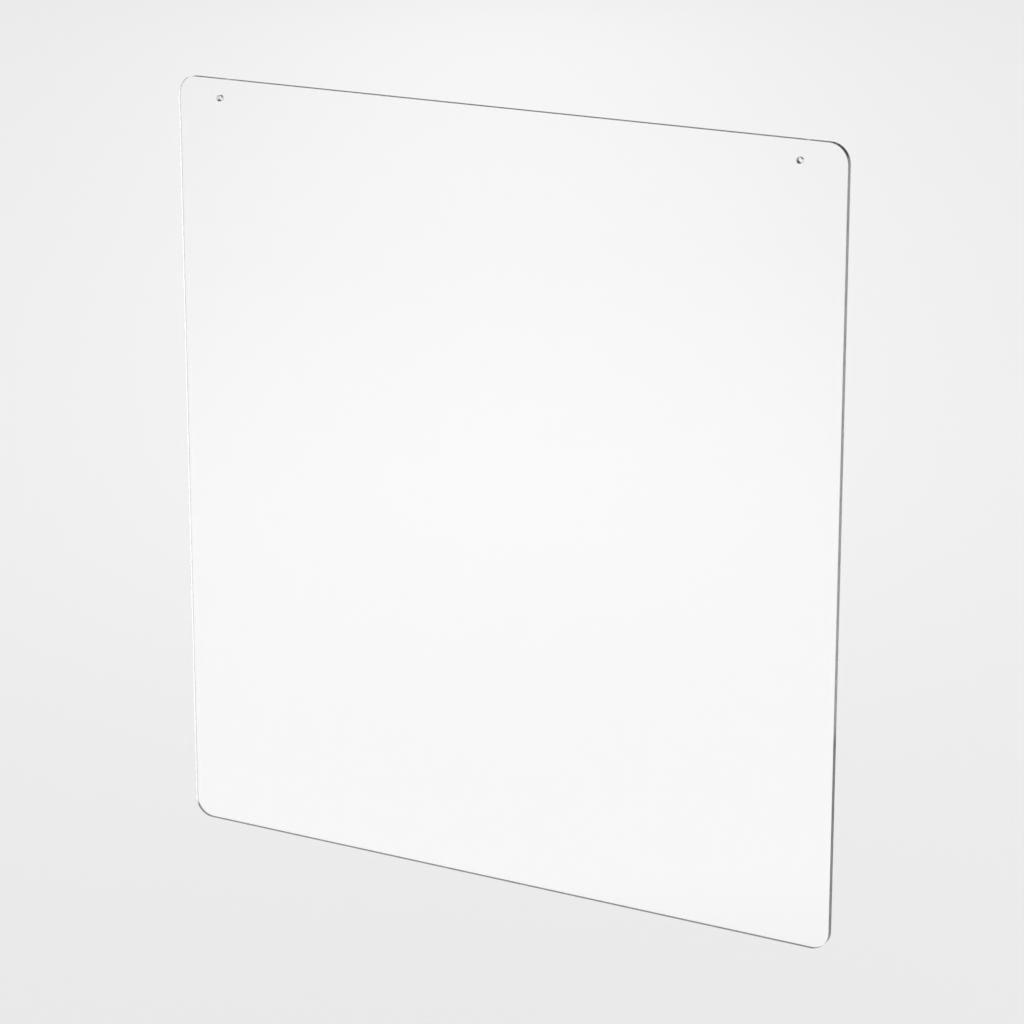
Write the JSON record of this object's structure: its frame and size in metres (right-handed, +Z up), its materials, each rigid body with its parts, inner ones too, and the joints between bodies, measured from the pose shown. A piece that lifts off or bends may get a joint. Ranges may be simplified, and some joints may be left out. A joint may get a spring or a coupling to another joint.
{
  "type": "hanging sneeze guard",
  "caption": "Clear acrylic sneeze guard: a flat upright sheet with rounded corners, polished edges and drilled holes near the top edge to hang it by.",
  "frame": {"origin": "midway between the axes of the two hanging holes, at the middle of the sheet's thickness", "axes": "+Z up, along the height; +X to the right, along the width; the front face looks towards -Y"},
  "size_m": [0.75, 0.006, 0.8],
  "materials": {
    "clear_acrylic": "clear cast acrylic, polished faces and flame-polished edges"
  },
  "bodies": {
    "root": {"acrylic_sheet": "clear_acrylic"}
  },
  "joints": []
}
